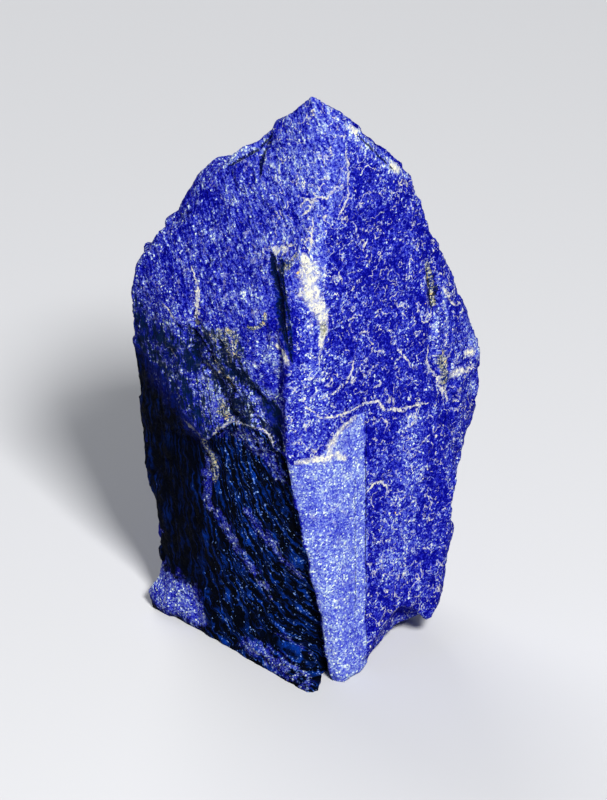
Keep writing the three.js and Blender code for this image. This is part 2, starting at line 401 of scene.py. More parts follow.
big_chips = chips(warped, BIG_CHIP, seed=1)
small_chips = chips(warped, SMALL_CHIP, seed=2)
tiny = wander(place, 1.2, 2, seed=11)
scars = chips(place + 2.5 * np.column_stack([wander(place, 7, 2, seed) for seed in (6, 7, 8)]), SCAR, seed=5)
scars = spread(scars, 5) * (1 - step(spread(front, 80), 0.02, 0.5))
print("big chips are up to", round(big_chips.max(), 2), "and scars", round(scars.max(), 2), "before scaling")

# %% [markdown]
# ## Torn rock
# The wall didn't chip: it tore along its grain, and has long ribs that run down to the right and flatten out
# towards the foot. The roof tore too, in fine streaks. Noise that is stretched along one direction gives
# both. The ribs turn as they go, so their place is measured across and along them instead of in x and z.

# %% Ribs of the wall
LEAN = math.radians(30)
WALL_MIDDLE = (-9, 12)
MIDDLE_SLANT, TURN_PER_MM = 1.15, 0.028

to_right = x - WALL_MIDDLE[0]
upwards = math.sin(LEAN) * y + math.cos(LEAN) * z - WALL_MIDDLE[1]
slant = MIDDLE_SLANT - TURN_PER_MM * to_right
rib_across = to_right * np.sin(slant) + upwards * np.cos(slant)
rib_along = to_right * np.cos(slant) - upwards * np.sin(slant)


def ribbed(width, length, seed):
    """Long waves that lie along the ribs."""
    wave = np.column_stack([rib_across / width, rib_along / length, 0 * x])
    return wander(wave, 1.0, 2, seed)


broad_ribs = ribbed(1.9, 16, 3)
fine_ribs = ribbed(0.95, 8, 8)
print("ribs from", round(broad_ribs.min(), 2), "to", round(broad_ribs.max(), 2))

# %% Streaks of the roof
ROOF_GRAIN = Vector((0.34, -0.30, -0.90)).normalized()
STREAK_WIDTH, STREAK_LENGTH = 1.1, 5

along_grain = place @ np.array(ROOF_GRAIN)
beside_grain = place - np.outer(along_grain, ROOF_GRAIN)
stretched = beside_grain / STREAK_WIDTH + np.outer(along_grain, ROOF_GRAIN) / STREAK_LENGTH
roof_streaks = wander(stretched, 1.0, 2, seed=5)
print("streaks from", round(roof_streaks.min(), 2), "to", round(roof_streaks.max(), 2))

# %% Every face its own mix
SWELL_PUSH, BIG_PUSH, SMALL_PUSH, TINY_PUSH, SCAR_PUSH = 0.18, 0.2, 0.18, 0.08, 0.5
BROAD_RIB_PUSH, FINE_RIB_PUSH, STREAK_PUSH = 0.34, 0.2, 0.15

smooth_face = np.maximum(strip, 0.75 * step(right_of_nose, -BORDER, BORDER) * (1 - shoulder) * front)
rugged = 1 - 0.85 * smooth_face - 0.5 * wall - 0.45 * roof
ribbed_rock = wall + 0.6 * below_brow
push = SWELL_PUSH * swell
push += rugged * (BIG_PUSH * big_chips + SMALL_PUSH * small_chips + TINY_PUSH * tiny)
push += ribbed_rock * (BROAD_RIB_PUSH * broad_ribs + FINE_RIB_PUSH * fine_ribs)
push += STREAK_PUSH * roof * roof_streaks + SCAR_PUSH * scars
print("pushed by", round(push.min(), 2), "to", round(push.max(), 2), "mm")

# %% [markdown]
# ## Edges, cracks and lips
# No edge of a broken stone is straight: it is nibbled all the way. A bevel would round it evenly, so instead
# the points on a sharp outward edge sink by a patchy amount. They are found by averaging: what sticks out of
# its own average is an edge. Thin seams and a pocket lie below the brow, a crack opens beside the white
# cloud, a groove runs down the right, and the ledge carries a lip. All of these are marks that push a little.

# %% Nibble the edges
EDGE_BITE = 0.34
FULL_BULGE = 0.3

bulge = ((place - spread(place, 9)) * outward).sum(axis=1)
sharp_edge = np.clip(spread(bulge, 2) / FULL_BULGE, -1, 1)
nibble = np.clip(0.4 + 0.6 * wander(place, 2.0, 3, seed=9), 0, 1)
push -= EDGE_BITE * np.clip(sharp_edge, 0, 1) * nibble
print("edge points:", int((sharp_edge > 0.5).sum()))

# %% Lines of the cracks and seams
CRACKS = [
    [(-5.2, 65, 0.2), (-5, 63.4, 0.3), (-4.3, 60.3, 0.4), (-4.1, 57.8, 0.4), (-3.3, 54.1, 0.3),
     (-2.3, 51.4, 0.1)],
    [(-3.8, 64.7, 0.2), (-4, 63.4, 0.25), (-3.7, 61.3, 0.22), (-3, 58.7, 0.2), (-2.6, 55.9, 0.15),
     (-2.3, 53, 0.1)],
]
SEAMS = [
    [(-15.8, 53.5, 0.4), (-15, 51.6, 0.5), (-14.2, 49.4, 0.4), (-13.6, 48.2, 0.2)],
    [(-16.1, 52.3, 0.3), (-15.9, 49.3, 0.5), (-15.7, 47.3, 0.45), (-15, 46, 0.35)],
    [(-14.8, 47.2, 0.25), (-14.3, 46.1, 0.4), (-12.9, 44.4, 0.4), (-11.5, 42.1, 0.5), (-10.2, 39.9, 0.6)],
    [(-12.7, 51.4, 0.25), (-12, 49.5, 0.6), (-11.4, 48.4, 0.5), (-10.9, 47.1, 0.4), (-9.3, 45.2, 0.3)],
    [(-11.6, 45.2, 0.2), (-10.8, 43.6, 0.45), (-10.3, 42.2, 0.6), (-10, 40.8, 0.7), (-9.6, 39.7, 0.7)],
    [(-10.3, 49.4, 0.2), (-10, 47.5, 0.4), (-9.3, 46.4, 0.45), (-8.3, 45.4, 0.5), (-7.4, 44.4, 0.4)],
    [(-8.4, 42, 0.2), (-7.3, 40.2, 0.4), (-6.3, 39.2, 0.5), (-5, 38.2, 0.6), (-4.2, 36.4, 0.5)],
    [(-11, 75.6, 0.1), (-8.8, 77.4, 0.18), (-6.8, 79, 0.2), (-5.4, 80.6, 0.12)],
    [(-5.7, 79.6, 0.1), (-6.5, 78.2, 0.2), (-6.9, 76.6, 0.22), (-6.8, 75.3, 0.1)],
    [(17.3, 58, 0.15), (17.8, 56.2, 0.4), (18, 54.4, 0.5), (18.4, 52.4, 0.4), (18.6, 51.4, 0.15)],
]
POCKET = [(-7.6, 44.4, 0.8), (-6, 42.8, 1.8), (-4.9, 41, 2), (-4.4, 38, 1.4)]
LEDGE_LIP = [(-13.9, 35.6, 0.12), (-12.9, 37.2, 0.14), (-11.6, 38.2, 0.16), (-9.8, 39.1, 0.18),
             (-8.1, 39.2, 0.16), (-6.6, 38.7, 0.15), (-5.6, 37.8, 0.13), (-5.1, 36.2, 0.08)]
print(len(CRACKS), "cracks and", len(SEAMS), "seams")

# %% Press them in and raise the lip
CRACK_DEPTH, SEAM_DEPTH, POCKET_DEPTH, GROOVE_DEPTH = 0.45, 0.4, 0.6, 0.35
LIP_HEIGHT = 0.25

cracks = mark(CRACKS, 0.6, 2)
seams = mark(SEAMS, 0.5, 2.4)
pocket = mark([POCKET], 0.2, 1.1) * step(x_of(RIDGE) - x, 0.1, 0.7)
groove = mark([GROOVE], 0.2, 1.5)
lip = mark([LEDGE_LIP], 1.5, 6)
push -= CRACK_DEPTH * cracks + SEAM_DEPTH * seams + POCKET_DEPTH * pocket + GROOVE_DEPTH * groove
push += LIP_HEIGHT * lip
print("crack points:", int((cracks > 0.5).sum()))

# %% [markdown]
# ## Move the skin
# Now every point moves along its own outward direction. The stone stands on a flat base, so points on the
# floor stay on it, and only the base's rim is bitten a little. Where two pushes meet at a corner, a point can
# shoot out like a thorn, so whatever still sticks far out of its neighbours goes back to their average.

# %% Push, bite and round off thorns
PEAK_LIFT = 0.6
BASE_BITE = 0.8
ON_FLOOR = 0.06
THORN_STARTS, THORN_FULL = 0.22, 0.4

grounded = z < ON_FLOOR
bitten = BASE_BITE * np.clip(sharp_edge, 0, 1) * nibble * step(z, 1.6, 0.2)
place = place + outward * (push * step(z, 0.1, 1.2) - bitten)[:, None]
place[:, 2] += PEAK_LIFT * step(z, 84, 87)
rounded = spread(place, 6)
thorn = step(((place - rounded) * outward).sum(axis=1), THORN_STARTS, THORN_FULL)[:, None]
place = place + thorn * (rounded - place)
place[grounded, 2] = 0
place[:, 2] = np.maximum(place[:, 2], 0)
print("rounded", int((thorn > 0.5).sum()), "thorns")

# %% Give the skin its new places
wrapped.vertices.foreach_set("co", (place * MM).ravel())
wrapped.polygons.foreach_set("use_smooth", np.ones(len(wrapped.polygons), bool))
wrapped.update()
print("the skin is", np.ptp(place, axis=0).round(1), "mm")

# %% [markdown]
# ## White veins
# Calcite filled hair-thin cracks in the blue rock. Noise alone can make such lines anywhere, but the few long
# ones give this stone its face, so they are marks with a place of their own. The ledge's lip is one of them.

# %% Lines of the veins
VEINS = [
    LEDGE_LIP,
    [(-0.2, 44.1, 0.1), (1.9, 42.1, 0.14), (5.4, 41.6, 0.14), (8, 41.9, 0.16), (9.9, 41.6, 0.14),
     (10.9, 39.8, 0.16), (13.7, 38.6, 0.2), (15.5, 38.6, 0.16), (17.3, 38, 0.1)],
    [(6.2, 48.9, 0.15), (5.9, 47.2, 0.2), (5.5, 46.3, 0.14), (3.5, 45.2, 0.1)],
    [(8.6, 28.3, 0.1), (9.5, 29.2, 0.15), (10.6, 29, 0.15), (11.8, 27.2, 0.1)],
    [(-16.6, 60.5, 0.1), (-15.8, 58.4, 0.16), (-15.9, 56, 0.24), (-15.9, 53.6, 0.26)],
    [(-1.2, 72.5, 0.12), (-0.3, 73.3, 0.14), (0.5, 73, 0.16), (1.3, 74, 0.14), (2.5, 73.9, 0.16),
     (3.4, 74.7, 0.12)],
    [(-0.6, 71.4, 0.12), (0.2, 72.3, 0.12)],
    [(-20.5, 54.4, 0.12), (-19.5, 53.1, 0.12)],
    [(-20.4, 48.6, 0.1), (-19, 46.1, 0.14), (-18.4, 44.7, 0.1)],
    [(5.2, 79.8, 0.1), (5.6, 76.5, 0.12), (5.5, 73.6, 0.12), (4.4, 71.1, 0.1)],
    [(1.9, 55, 0.2), (1.5, 52.4, 0.14), (1.5, 50.2, 0.08)],
    [(0.1, 66.9, 0.15), (0.4, 68.2, 0.18), (0.6, 69.8, 0.1)],
    [(-5.3, 65.9, 0.25), (-4.2, 66.3, 0.35), (-2.4, 67.2, 0.15)],
    [(-17.5, 36.7, 0.16), (-16.1, 35.4, 0.22), (-15, 33.6, 0.22)],
    [(19.4, 53.8, 0.12), (20.3, 52.1, 0.2), (21, 50.7, 0.2), (21.9, 49.9, 0.12)],
    [(17.6, 46.2, 0.1), (17.4, 43.8, 0.14), (18.1, 42.4, 0.16), (19, 41, 0.14), (19.4, 39.7, 0.24),
     (20, 38.2, 0.26), (20.7, 36.1, 0.14)],
    [(22.4, 39.6, 0.24), (23.6, 39.2, 0.26)],
    [(13.2, 47.8, 0.1), (14.7, 44.9, 0.12)],
]
print(len(VEINS), "veins")

# %% [markdown]
# ## Calcite clouds and pyrite nests
# In some places calcite is a cloud of white grains, and in others brassy pyrite sits in small rusty nests.
# Both are crowds of grains, so a mark says only where the crowd is and how wide. The material later picks the
# single grains, which keeps their borders ragged.

# %% Lines of the clouds and nests
CALCITE = [
    [(-0.6, 66.2, 0.3), (0, 63.8, 1.1), (0.2, 61.4, 1.15), (1.1, 59.2, 0.75), (1.9, 57.4, 0.55),
     (2, 55.4, 0.45), (1.7, 53, 0.25)],
    [(-1.6, 35.8, 0.3), (0.7, 36.1, 0.35), (2.4, 35.8, 0.45), (3.8, 36, 0.4), (5.3, 34.8, 0.3)],
    [(3, 36, 0.5), (3.2, 37.5, 0.45), (4.1, 38.8, 0.35), (5.2, 39.9, 0.3), (6.8, 40.4, 0.25)],
    [(-4.6, 65.6, 0.3), (-3.2, 66.4, 0.35)],
    [(21.1, 40, 0.5), (22, 39.8, 0.55)],
    [(23.3, 42, 0.4), (24, 41.5, 0.4)],
    [(5.8, 83, 0.2), (6.6, 81.9, 0.2)],
    [(11.6, 75.4, 0.2), (12.6, 74.2, 0.3)],
    [(-4.4, 52.7, 0.25), (-3.5, 52.1, 0.4), (-3, 50.9, 0.3)],
]
PYRITE = [
    [(-12.5, 53, 0.35), (-12, 51.8, 0.5), (-11.9, 50.5, 0.5), (-11.3, 49.6, 0.4), (-11.3, 48.4, 0.3)],
    [(-11.5, 53.4, 0.35), (-10.5, 52.9, 0.35), (-10.6, 51.8, 0.4), (-10.3, 50.6, 0.4), (-10.1, 49.5, 0.3)],
    [(-13.9, 52.4, 0.3), (-13.4, 51.2, 0.3)],
    [(-8.3, 54.5, 0.3), (-7.1, 54.9, 0.3), (-6.4, 55.6, 0.3), (-6, 56.9, 0.2)],
    [(-13.8, 48.2, 0.25), (-12.9, 47.6, 0.35), (-12.3, 46.2, 0.4), (-10.9, 45.7, 0.35)],
    [(-11.5, 46.2, 0.25), (-11.2, 44.1, 0.3)],
    [(-12.4, 41.3, 0.45), (-12.1, 39.8, 0.7), (-11.4, 38.8, 0.45)],
    [(-14.5, 46.6, 0.2), (-13.2, 45, 0.25)],
    [(-15.3, 33.4, 0.5), (-14.6, 31.8, 0.55), (-13.7, 30.6, 0.45), (-13.6, 27, 0.3)],
    [(-2, 66, 0.4), (-2.9, 64.6, 0.5), (-3.8, 63.6, 0.4)],
    [(17.1, 59, 0.3), (17.6, 57, 0.3), (18, 54.4, 0.3), (18.4, 52.6, 0.25)],
    [(19.3, 44.2, 0.4), (19.8, 41.6, 0.4), (20.1, 39.6, 0.5)],
    [(24.2, 47, 0.3), (24.7, 45.2, 0.3)],
    [(24.9, 36.8, 0.3), (25.1, 35.3, 0.3)],
    [(1.9, 56.2, 0.35), (1.9, 54.4, 0.25)],
]
print(len(CALCITE), "calcite clouds and", len(PYRITE), "pyrite nests")

# %% [markdown]
# ## Lit edges, haze, lit ribs and hairlines
# Edges and spots that face the lamp are painted paler, as painted highlights. Fine calcite also hangs in the
# rock as a haze. A few ribs of the wall and the heel at the far left are painted paler too, as painted light
# where the lamp catches them, and hairlines too thin to press in part the strip from the big face. None of
# these changes the shape, so they are marks for colour only.

# %% Lines of the colour marks
LIT_EDGES = [
    [(5.5, 83.2, 0.5), (7.5, 80.8, 0.9), (9.2, 78.5, 0.9), (10.9, 76.4, 0.8), (12.7, 74.1, 0.7),
     (14.2, 72.6, 0.5)],
    [(-12.2, 75.1, 0.3), (-10, 77.3, 0.5), (-8.2, 78.6, 0.6), (-6.5, 79.8, 0.4)],
    [(-5.9, 79.3, 0.25), (-6.6, 78, 0.3)],
    [(24, 43.6, 0.5), (24.8, 41, 0.6)],
    [(24, 36.3, 0.5), (24.9, 34.7, 0.5)],
    [(18.6, 52, 0.25), (18.3, 49.4, 0.4), (18, 47.5, 0.4)],
    [(19.5, 54.6, 0.3), (20.1, 47.5, 0.3)],
]
HAZE = [
    [(1.5, 70, 1.2), (1, 62, 2.2), (0.5, 54, 2.4), (0, 46, 3), (1.5, 40, 3)],
    [(-2, 51, 1), (-2.2, 44, 1.6), (-1.4, 38, 1.8)],
    [(-7.6, 53.4, 1.2), (-5.4, 50, 2), (-4.4, 47, 1.2)],
    [(15, 36, 2.5), (14, 26, 3.5), (12.5, 14, 3)],
]
# The lit ribs are painted paler: painted light where the lamp catches them.
LIT_RIBS = [
    [(-9.8, 2.1, 0.6), (-6.4, 2.4, 1.2), (-3.6, 2.3, 1.5), (-0.8, 1.6, 1.2)],
    [(-14.6, 30, 0.5), (-14.8, 22.9, 0.6), (-12.5, 20.4, 0.75), (-9.8, 16.4, 0.7), (-7.9, 13.8, 0.6),
     (-5.5, 10.8, 0.4)],
    [(-8.9, 23.8, 0.45), (-6.3, 20.8, 0.75), (-3.7, 17.6, 0.6), (-1, 15.6, 0.4)],
    [(-12, 36.5, 0.9), (-9, 36.6, 1.4), (-6.2, 34.8, 1.2), (-4, 31.5, 0.7)],
    [(-17.3, 0.3, 0.4), (-16.7, 0.2, 0.4)],
]
# The heel is painted paler: painted light on a lump that faces up into the lamp.
HEEL = [(-21.5, 3.8, 3.6), (-18.9, 4.4, 3.4), (-17, 2.6, 2)]
HAIRLINES = [
    [(8.35, 41, 0.03), (8.3, 30, 0.055), (8.4, 17.8, 0.05), (8.5, 4, 0.03)],
    [(6.7, 31, 0.02), (6.9, 18.5, 0.03), (6.8, 6, 0.02)],
    [(6.8, 81.5, 0.06), (9.4, 78, 0.1), (12, 74.6, 0.06)],
    [(-4.7, 64.6, 0.3), (-4.4, 61.5, 0.45), (-3.8, 58, 0.4), (-3.1, 54.6, 0.3), (-2.5, 52, 0.1)],
]
print(len(LIT_EDGES), "rubbed spots,", len(LIT_RIBS), "lit ribs and", len(HAIRLINES), "hairlines")

# %% [markdown]
# ## The back
# The back is the same rock, so calcite and pyrite run there too: one long vein with a branch, and a few
# knots. Copying the front's marks would give a mirror image, so the back has its own.

# %% Marks on the back
BACK_VEINS = [
    [(-15, 63, 0.1), (-10.5, 58.4, 0.22), (-6, 55.2, 0.28), (-1.5, 53.6, 0.24), (3, 50, 0.22),
     (8.6, 42.8, 0.26), (12.4, 39.4, 0.2), (15.5, 36, 0.1)],
    [(3, 50, 0.12), (4.8, 44, 0.2), (4.2, 37, 0.26), (5.4, 29, 0.2), (4.6, 22, 0.12)],
    [(-9.5, 71, 0.12), (-4, 68.4, 0.2), (0.5, 69.6, 0.14)],
    [(-12, 34, 0.12), (-7.4, 29.6, 0.24), (-3.6, 27.8, 0.14)],
]
BACK_CALCITE = [
    [(-8, 56.8, 0.4), (-5.6, 54.9, 1.0), (-2.6, 53.9, 0.6)],
    [(4.3, 36.6, 0.4), (4.6, 33.4, 0.5)],
    [(-8.6, 30.6, 0.3), (-6.6, 29.3, 0.6)],
]
BACK_PYRITE = [
    [(6.4, 45.8, 0.4), (8.4, 43.2, 0.5), (9.9, 41.4, 0.3)],
    [(-2.4, 68, 0.3), (-1, 68.8, 0.4)],
    [(-10.4, 33, 0.3), (-9, 31.4, 0.4)],
]
print(len(BACK_VEINS), "veins on the back")

# %% [markdown]
# ## Notes for the material
# A mineral's colour depends on where it is on the stone. A material can't ask that of an array in Python, but
# it can read numbers that the points carry. So each point gets a few notes: how far inside each face it is,
# how near a vein, how sharp its edge, and how deep in a hollow. Notes as distances stay crisp when they are
# cut, where painted colours would blur between points.

# %% Measure the marks
behind = 9 * step(y, 6, 9)
vein_near, vein_signed = near(VEINS)
back_near, back_signed = near(BACK_VEINS, back)
vein_signed = np.where(back_near < vein_near, back_signed, vein_signed)
vein_near = np.minimum(vein_near, back_near)
seam_near, seam_signed = near(CRACKS + SEAMS + HAIRLINES)
calcite_near = np.minimum(near(CALCITE)[0], near(BACK_CALCITE, back)[0])
pyrite_near = np.minimum(near(PYRITE, where=1)[0] + behind, near(BACK_PYRITE, back)[0])
print("points in pyrite:", int((pyrite_near < 1).sum()))

# %% Write the notes on the points
FULL_HOLLOW = 0.25

hollow = spread(((spread(place, 12) - place) * outward).sum(axis=1), 1)
notes = {
    "strip": in_strip, "roof": in_roof, "wall": in_wall, "shoulder": in_shoulder, "face": right_of_nose,
    "vein_near": vein_near, "vein_signed": vein_signed, "seam_near": seam_near, "seam_signed": seam_signed,
    "calcite": calcite_near, "pyrite": pyrite_near, "lit_edges": near(LIT_EDGES)[0], "haze": mark(HAZE, 0.2, 1.3),
    "wall_end": wall_end, "left_border": left_border, "below": below_brow, "gloom": gloom + 0.8 * pocket,
    "edge": sharp_edge, "hollow": hollow / FULL_HOLLOW, "cracks": cracks,
    "rib_across": rib_across, "rib_along": rib_along, "lit_ribs": near(LIT_RIBS)[0],
    "heel": near([HEEL], where=1)[0] + behind,
    "towards_peak": step(x, -24, 6), "far_left": step(-x, 10, 19) * wall,
}
for name, values in notes.items():
    layer = wrapped.attributes.new(name, "FLOAT", "POINT")
    layer.data.foreach_set("value", values.astype(np.float32))
print("notes:", ", ".join(notes))

# %% [markdown]
# ## The lapis material
# The blue isn't one colour. Seen close, it is a crowd of grains a third of a millimetre wide, from near-black
# blue through royal blue to lavender and white. Mixing many blues by many masks soon can't be steered. So one
# number, the tone, runs through the whole stone, and a ramp of five blues and a cream turns it into colour.
# Whatever makes a place paler or darker only shifts the tone. Nodes are made by small helpers, because a few
# hundred of them are easier to read as sums than as boxes and wires.

# %% Node helpers
lapis = bpy.data.materials.new("lapis_lazuli")
lapis.use_nodes = True
tree = lapis.node_tree
shader = tree.nodes["Principled BSDF"]


def node(kind, **settings):
    """Adds a node. Settings name its own properties."""
    made = tree.nodes.new("ShaderNode" + kind)
    for key, value in settings.items():
        setattr(made, key, value)
    return made


def feed(socket, value):
    """Gives a socket either another node's output or a fixed value."""
    if isinstance(value, bpy.types.NodeSocket):
        tree.links.new(value, socket)
    else:
        socket.default_value = value


def noted(name):
    """Reads a number that the skin carries."""
    return node("Attribute", attribute_name=name).outputs["Fac"]


print("the material starts with", len(tree.nodes), "nodes")

# %% Arithmetic
def maths(operation, a, b=0.0, c=0.0, clamp=False):
    """One step of arithmetic."""
    made = node("Math", operation=operation, use_clamp=clamp)
    for socket, value in zip(made.inputs, (a, b, c)):
        feed(socket, value)
    return made.outputs[0]


def vectors(operation, a, b):
    """One step of arithmetic on directions or places."""
    made = node("VectorMath", operation=operation)
    feed(made.inputs[0], a)
    feed(made.inputs[1], b)
    return made.outputs[0]


def sum_of(start, *terms):
    """Start plus each (value, factor) term."""
    total = start
    for value, factor in terms:
        total = maths("MULTIPLY_ADD", value, factor, total)
    return total


def rise(value, start, end):
    """A smooth rise from 0 at start to 1 at end. Start may be above end."""
    made = node("MapRange", interpolation_type="SMOOTHSTEP")
    for key, given in (("Value", value), ("From Min", start), ("From Max", end)):
        feed(made.inputs[key], given)
    return made.outputs["Result"]


in_mm = vectors("MULTIPLY", node("TexCoord").outputs["Object"], (1 / MM, 1 / MM, 1 / MM))
print("the material works in millimetres")

# %% Colours
def paint(red, green, blue):
    """A screen colour from 0 to 255 as the linear colour that a shader works in."""
    linear = [((c / 255 + 0.055) / 1.055) ** 2.4 if c > 10 else c / 255 / 12.92 for c in (red, green, blue)]
    return (*linear, 1.0)


def blend(share, a, b):
    """Mixes two colours: a at share 0, b at share 1."""
    made = node("Mix", data_type="RGBA")
    for slot, value in ((0, share), (6, a), (7, b)):
        feed(made.inputs[slot], value)
    return made.outputs[2]


print("middle grey is", round(paint(128, 128, 128)[0], 3), "for a shader")

# %% Clouds, grains and bends
def clouds(size, detail=3.0, vector=in_mm, roughness=0.6):
    """Soft noise with clouds of that size in mm, as a number centred on 0."""
    made = node("TexNoise")
    feed(made.inputs["Vector"], vector)
    made.inputs["Scale"].default_value = 1 / size
    made.inputs["Detail"].default_value = detail
    made.inputs["Roughness"].default_value = roughness
    return maths("SUBTRACT", made.outputs[0], 0.5)


def cells(size, vector):
    """Grains of that size in mm."""
    made = node("TexVoronoi")
    feed(made.inputs["Vector"], vector)
    made.inputs["Scale"].default_value = 1 / size
    return made.outputs


def bent(amount, size):
    """Bends space a little, so that nothing runs dead straight."""
    made = node("TexNoise")
    feed(made.inputs["Vector"], in_mm)
    made.inputs["Scale"].default_value = 1 / size
    made.inputs["Detail"].default_value = 2
    shift = vectors("SUBTRACT", made.outputs["Color"], (0.5, 0.5, 0.5))
    return vectors("ADD", vectors("MULTIPLY", shift, (amount, amount, amount)), in_mm)


wavy = bent(0.5, 0.8)
print("nodes so far:", len(tree.nodes))

# %% [markdown]
# ## Streaks, ribs and grains
# On the roof the grains lie in streaks, and on the wall along the ribs. Stretching the noise along the tear
# gives both: the roof's by turning space until the tear is upright, the wall's from the two rib notes, so
# the fine ribs follow the shaped ones. The grains themselves are cells. Each cell has a random colour, and
# its three parts serve as three random numbers for the grain.

# %% Streaks along the roof and ribs along the wall
FINE_STREAK = (1 / 0.45, 1 / 0.45, 1 / 2.0)

turned = node("VectorRotate", rotation_type="EULER_XYZ")
feed(turned.inputs["Vector"], wavy)
turned.inputs["Rotation"].default_value = ROOF_GRAIN.to_track_quat("Z", "Y").inverted().to_euler()
streaks = clouds(1, 3, vectors("MULTIPLY", turned.outputs[0], FINE_STREAK))

rib_place = node("CombineXYZ")
feed(rib_place.inputs[0], sum_of(noted("rib_across"), (clouds(2.5, 2), 1.8)))
feed(rib_place.inputs[1], maths("MULTIPLY", noted("rib_along"), 0.13))
ribs = clouds(0.5, 3, rib_place.outputs[0])
rib_bits = clouds(0.22, 2, vectors("MULTIPLY", rib_place.outputs[0], (1, 2.2, 1)))
print("nodes so far:", len(tree.nodes))

# %% Grains and soft variation
COARSE_GRAIN, FINE_GRAIN = 0.38, 0.21


def picks(grains):
    """Three random numbers for each grain."""
    parts = node("SeparateColor")
    feed(parts.inputs[0], grains["Color"])
    return parts.outputs


coarse = cells(COARSE_GRAIN, wavy)
fine = cells(FINE_GRAIN, bent(0.15, 0.4))
coarse_pick, coarse_other, coarse_third = picks(coarse)
fine_pick, fine_other, fine_third = picks(fine)
speckle = clouds(0.4, 3, wavy, 0.75)
mottle = clouds(1.3, 3, wavy)
patches = clouds(5, 3)
print("grains of", COARSE_GRAIN, "and", FINE_GRAIN, "mm")

# %% [markdown]
# ## Where on the stone is it?
# Each note is cut at its border here, and becomes a share from 0 to 1. Rock has no ruled lines, so noise is
# added to the note before the cut, and the border wanders by that much. The more a face runs over into its
# neighbour on the real stone, the larger the noise.

# %% Faces
strip_here = rise(sum_of(noted("strip"), (clouds(0.5), 0.9), (clouds(2.2, 3), 1.6)), -0.2, 0.2)
roof_here = rise(sum_of(noted("roof"), (clouds(2.2), 6)), -2, 2)
wall_fade = rise(sum_of(noted("wall_end"), (clouds(1.8, 4), 1.6), (ribs, -0.6)), 0.4, 0.65)
wall_here = maths("MULTIPLY", rise(noted("wall"), -0.25, 0.25), wall_fade)
shoulder_here = rise(noted("shoulder"), -0.5, 0.5)
face_here = rise(noted("face"), -0.2, 0.2)
below_here = noted("below")
roof_streaks_here = maths("MULTIPLY", streaks, roof_here)
roof_pale = maths("MULTIPLY", roof_here, noted("towards_peak"))
print("strip, roof, wall, shoulder and face are known")

# %% Spots and shadows
torn = clouds(0.9, 3, vectors("MULTIPLY", wavy, (1.3, 1.0, 0.6)))
calcite_here = rise(sum_of(noted("calcite"), (torn, 3.2)), 1.8, 0.4)
haze_here = rise(sum_of(noted("haze"), (clouds(1.6, 3), 1.2)), 0.1, 0.9)
# Edges and spots that face the lamp are painted paler: painted highlights.
lit_edges_here = rise(sum_of(noted("lit_edges"), (clouds(0.9, 3), 2.4)), 1.8, 0.5)
# The heel and the lit ribs are painted paler, as painted light, and the wall's painted shade stays off them.
heel_here = rise(sum_of(noted("heel"), (clouds(1.2, 3), 1.5)), 1.3, 0.5)
lit_ribs = rise(sum_of(noted("lit_ribs"), (clouds(0.8, 3), 4.2), (ribs, -3.2)), 2.0, 0.2)
lit_ribs = maths("MULTIPLY", lit_ribs, rise(clouds(1.5, 3), -0.16, 0.0))
gloom_here = rise(sum_of(noted("gloom"), (clouds(0.9, 3), 1.6), (ribs, -1.2)), 0.35, 0.8)
bruise = rise(noted("edge"), 0.25, 0.9)
shade = rise(noted("hollow"), 0.15, 1.0)
print("nodes so far:", len(tree.nodes))

# %% [markdown]
# ## Calcite worms
# Hair-thin crooked veinlets wander over the big face, too many to be drawn one by one. Where a soft noise
# passes through its middle value it draws exactly such lines, and clouds break them up. Round each line more
# of the grains are pale, so its border is never clean but a crowd that thins out.

# %% Worms
def worms(size, width, gate_size, gate, bend):
    """Thin crooked lines where soft noise crosses its middle value, broken by clouds."""
    lines = rise(maths("ABSOLUTE", clouds(size, 1.5, bend)), width, width * 0.3)
    return maths("MULTIPLY", lines, rise(clouds(gate_size, 2, bend), gate, gate + 0.08))


LONG_WORM, SHORT_WORM = 2.6, 1.3

big_bend, small_bend = bent(1.8, 1.4), bent(0.9, 0.7)
worm_crowd = maths("MAXIMUM", worms(LONG_WORM, 0.036, 2.2, -0.02, big_bend),
                   worms(SHORT_WORM, 0.048, 1.4, 0.0, small_bend))
worm_lines = maths("MAXIMUM", worms(LONG_WORM, 0.02, 1.3, 0.0, big_bend),
                   worms(SHORT_WORM, 0.03, 0.8, 0.03, small_bend))
worm_share = sum_of(0.35, (face_here, 0.65), (strip_here, -0.7))
print("worms", LONG_WORM, "and", SHORT_WORM, "mm apart")

# %% [markdown]
# ## Crowd and tone
# Two numbers make the blue. The crowd is what share of the grains are pale. The tone is how pale the ground
# is between them. Each place on the stone adds a little to both, or takes some away, so the whole look is
# one table: to make the roof paler, only its row changes.

# %% What each place adds
calm = sum_of(1.0, (strip_here, -0.5), (roof_pale, -0.3))
even = sum_of(1.0, (strip_here, -0.25), (roof_pale, -0.5))
PLACES = [
    # where, more pale grains, paler ground
    (strip_here, 0.14, 0.33),
    (roof_pale, 0.06, 0.16),
    (roof_here, 0.04, 0.03),
    (roof_streaks_here, 1.4, 1.1),
    (shoulder_here, 0.06, 0.03),
    (below_here, 0.24, 0.16),
    (gloom_here, -0.2, -0.12),
    # The heel and the lit ribs below are painted light.
    (heel_here, 0.2, 0.16),
    (lit_ribs, 0.3, 0.12),
    (calcite_here, 0.55, 0.06),
    (haze_here, 0.12, 0.12),
    (lit_edges_here, 0.25, 0.2),
    (bruise, 0.25, 0.08),
    (shade, -0.15, -0.12),
    (patches, 0.6, 0.35),
]
print(len(PLACES), "places shift the blue")

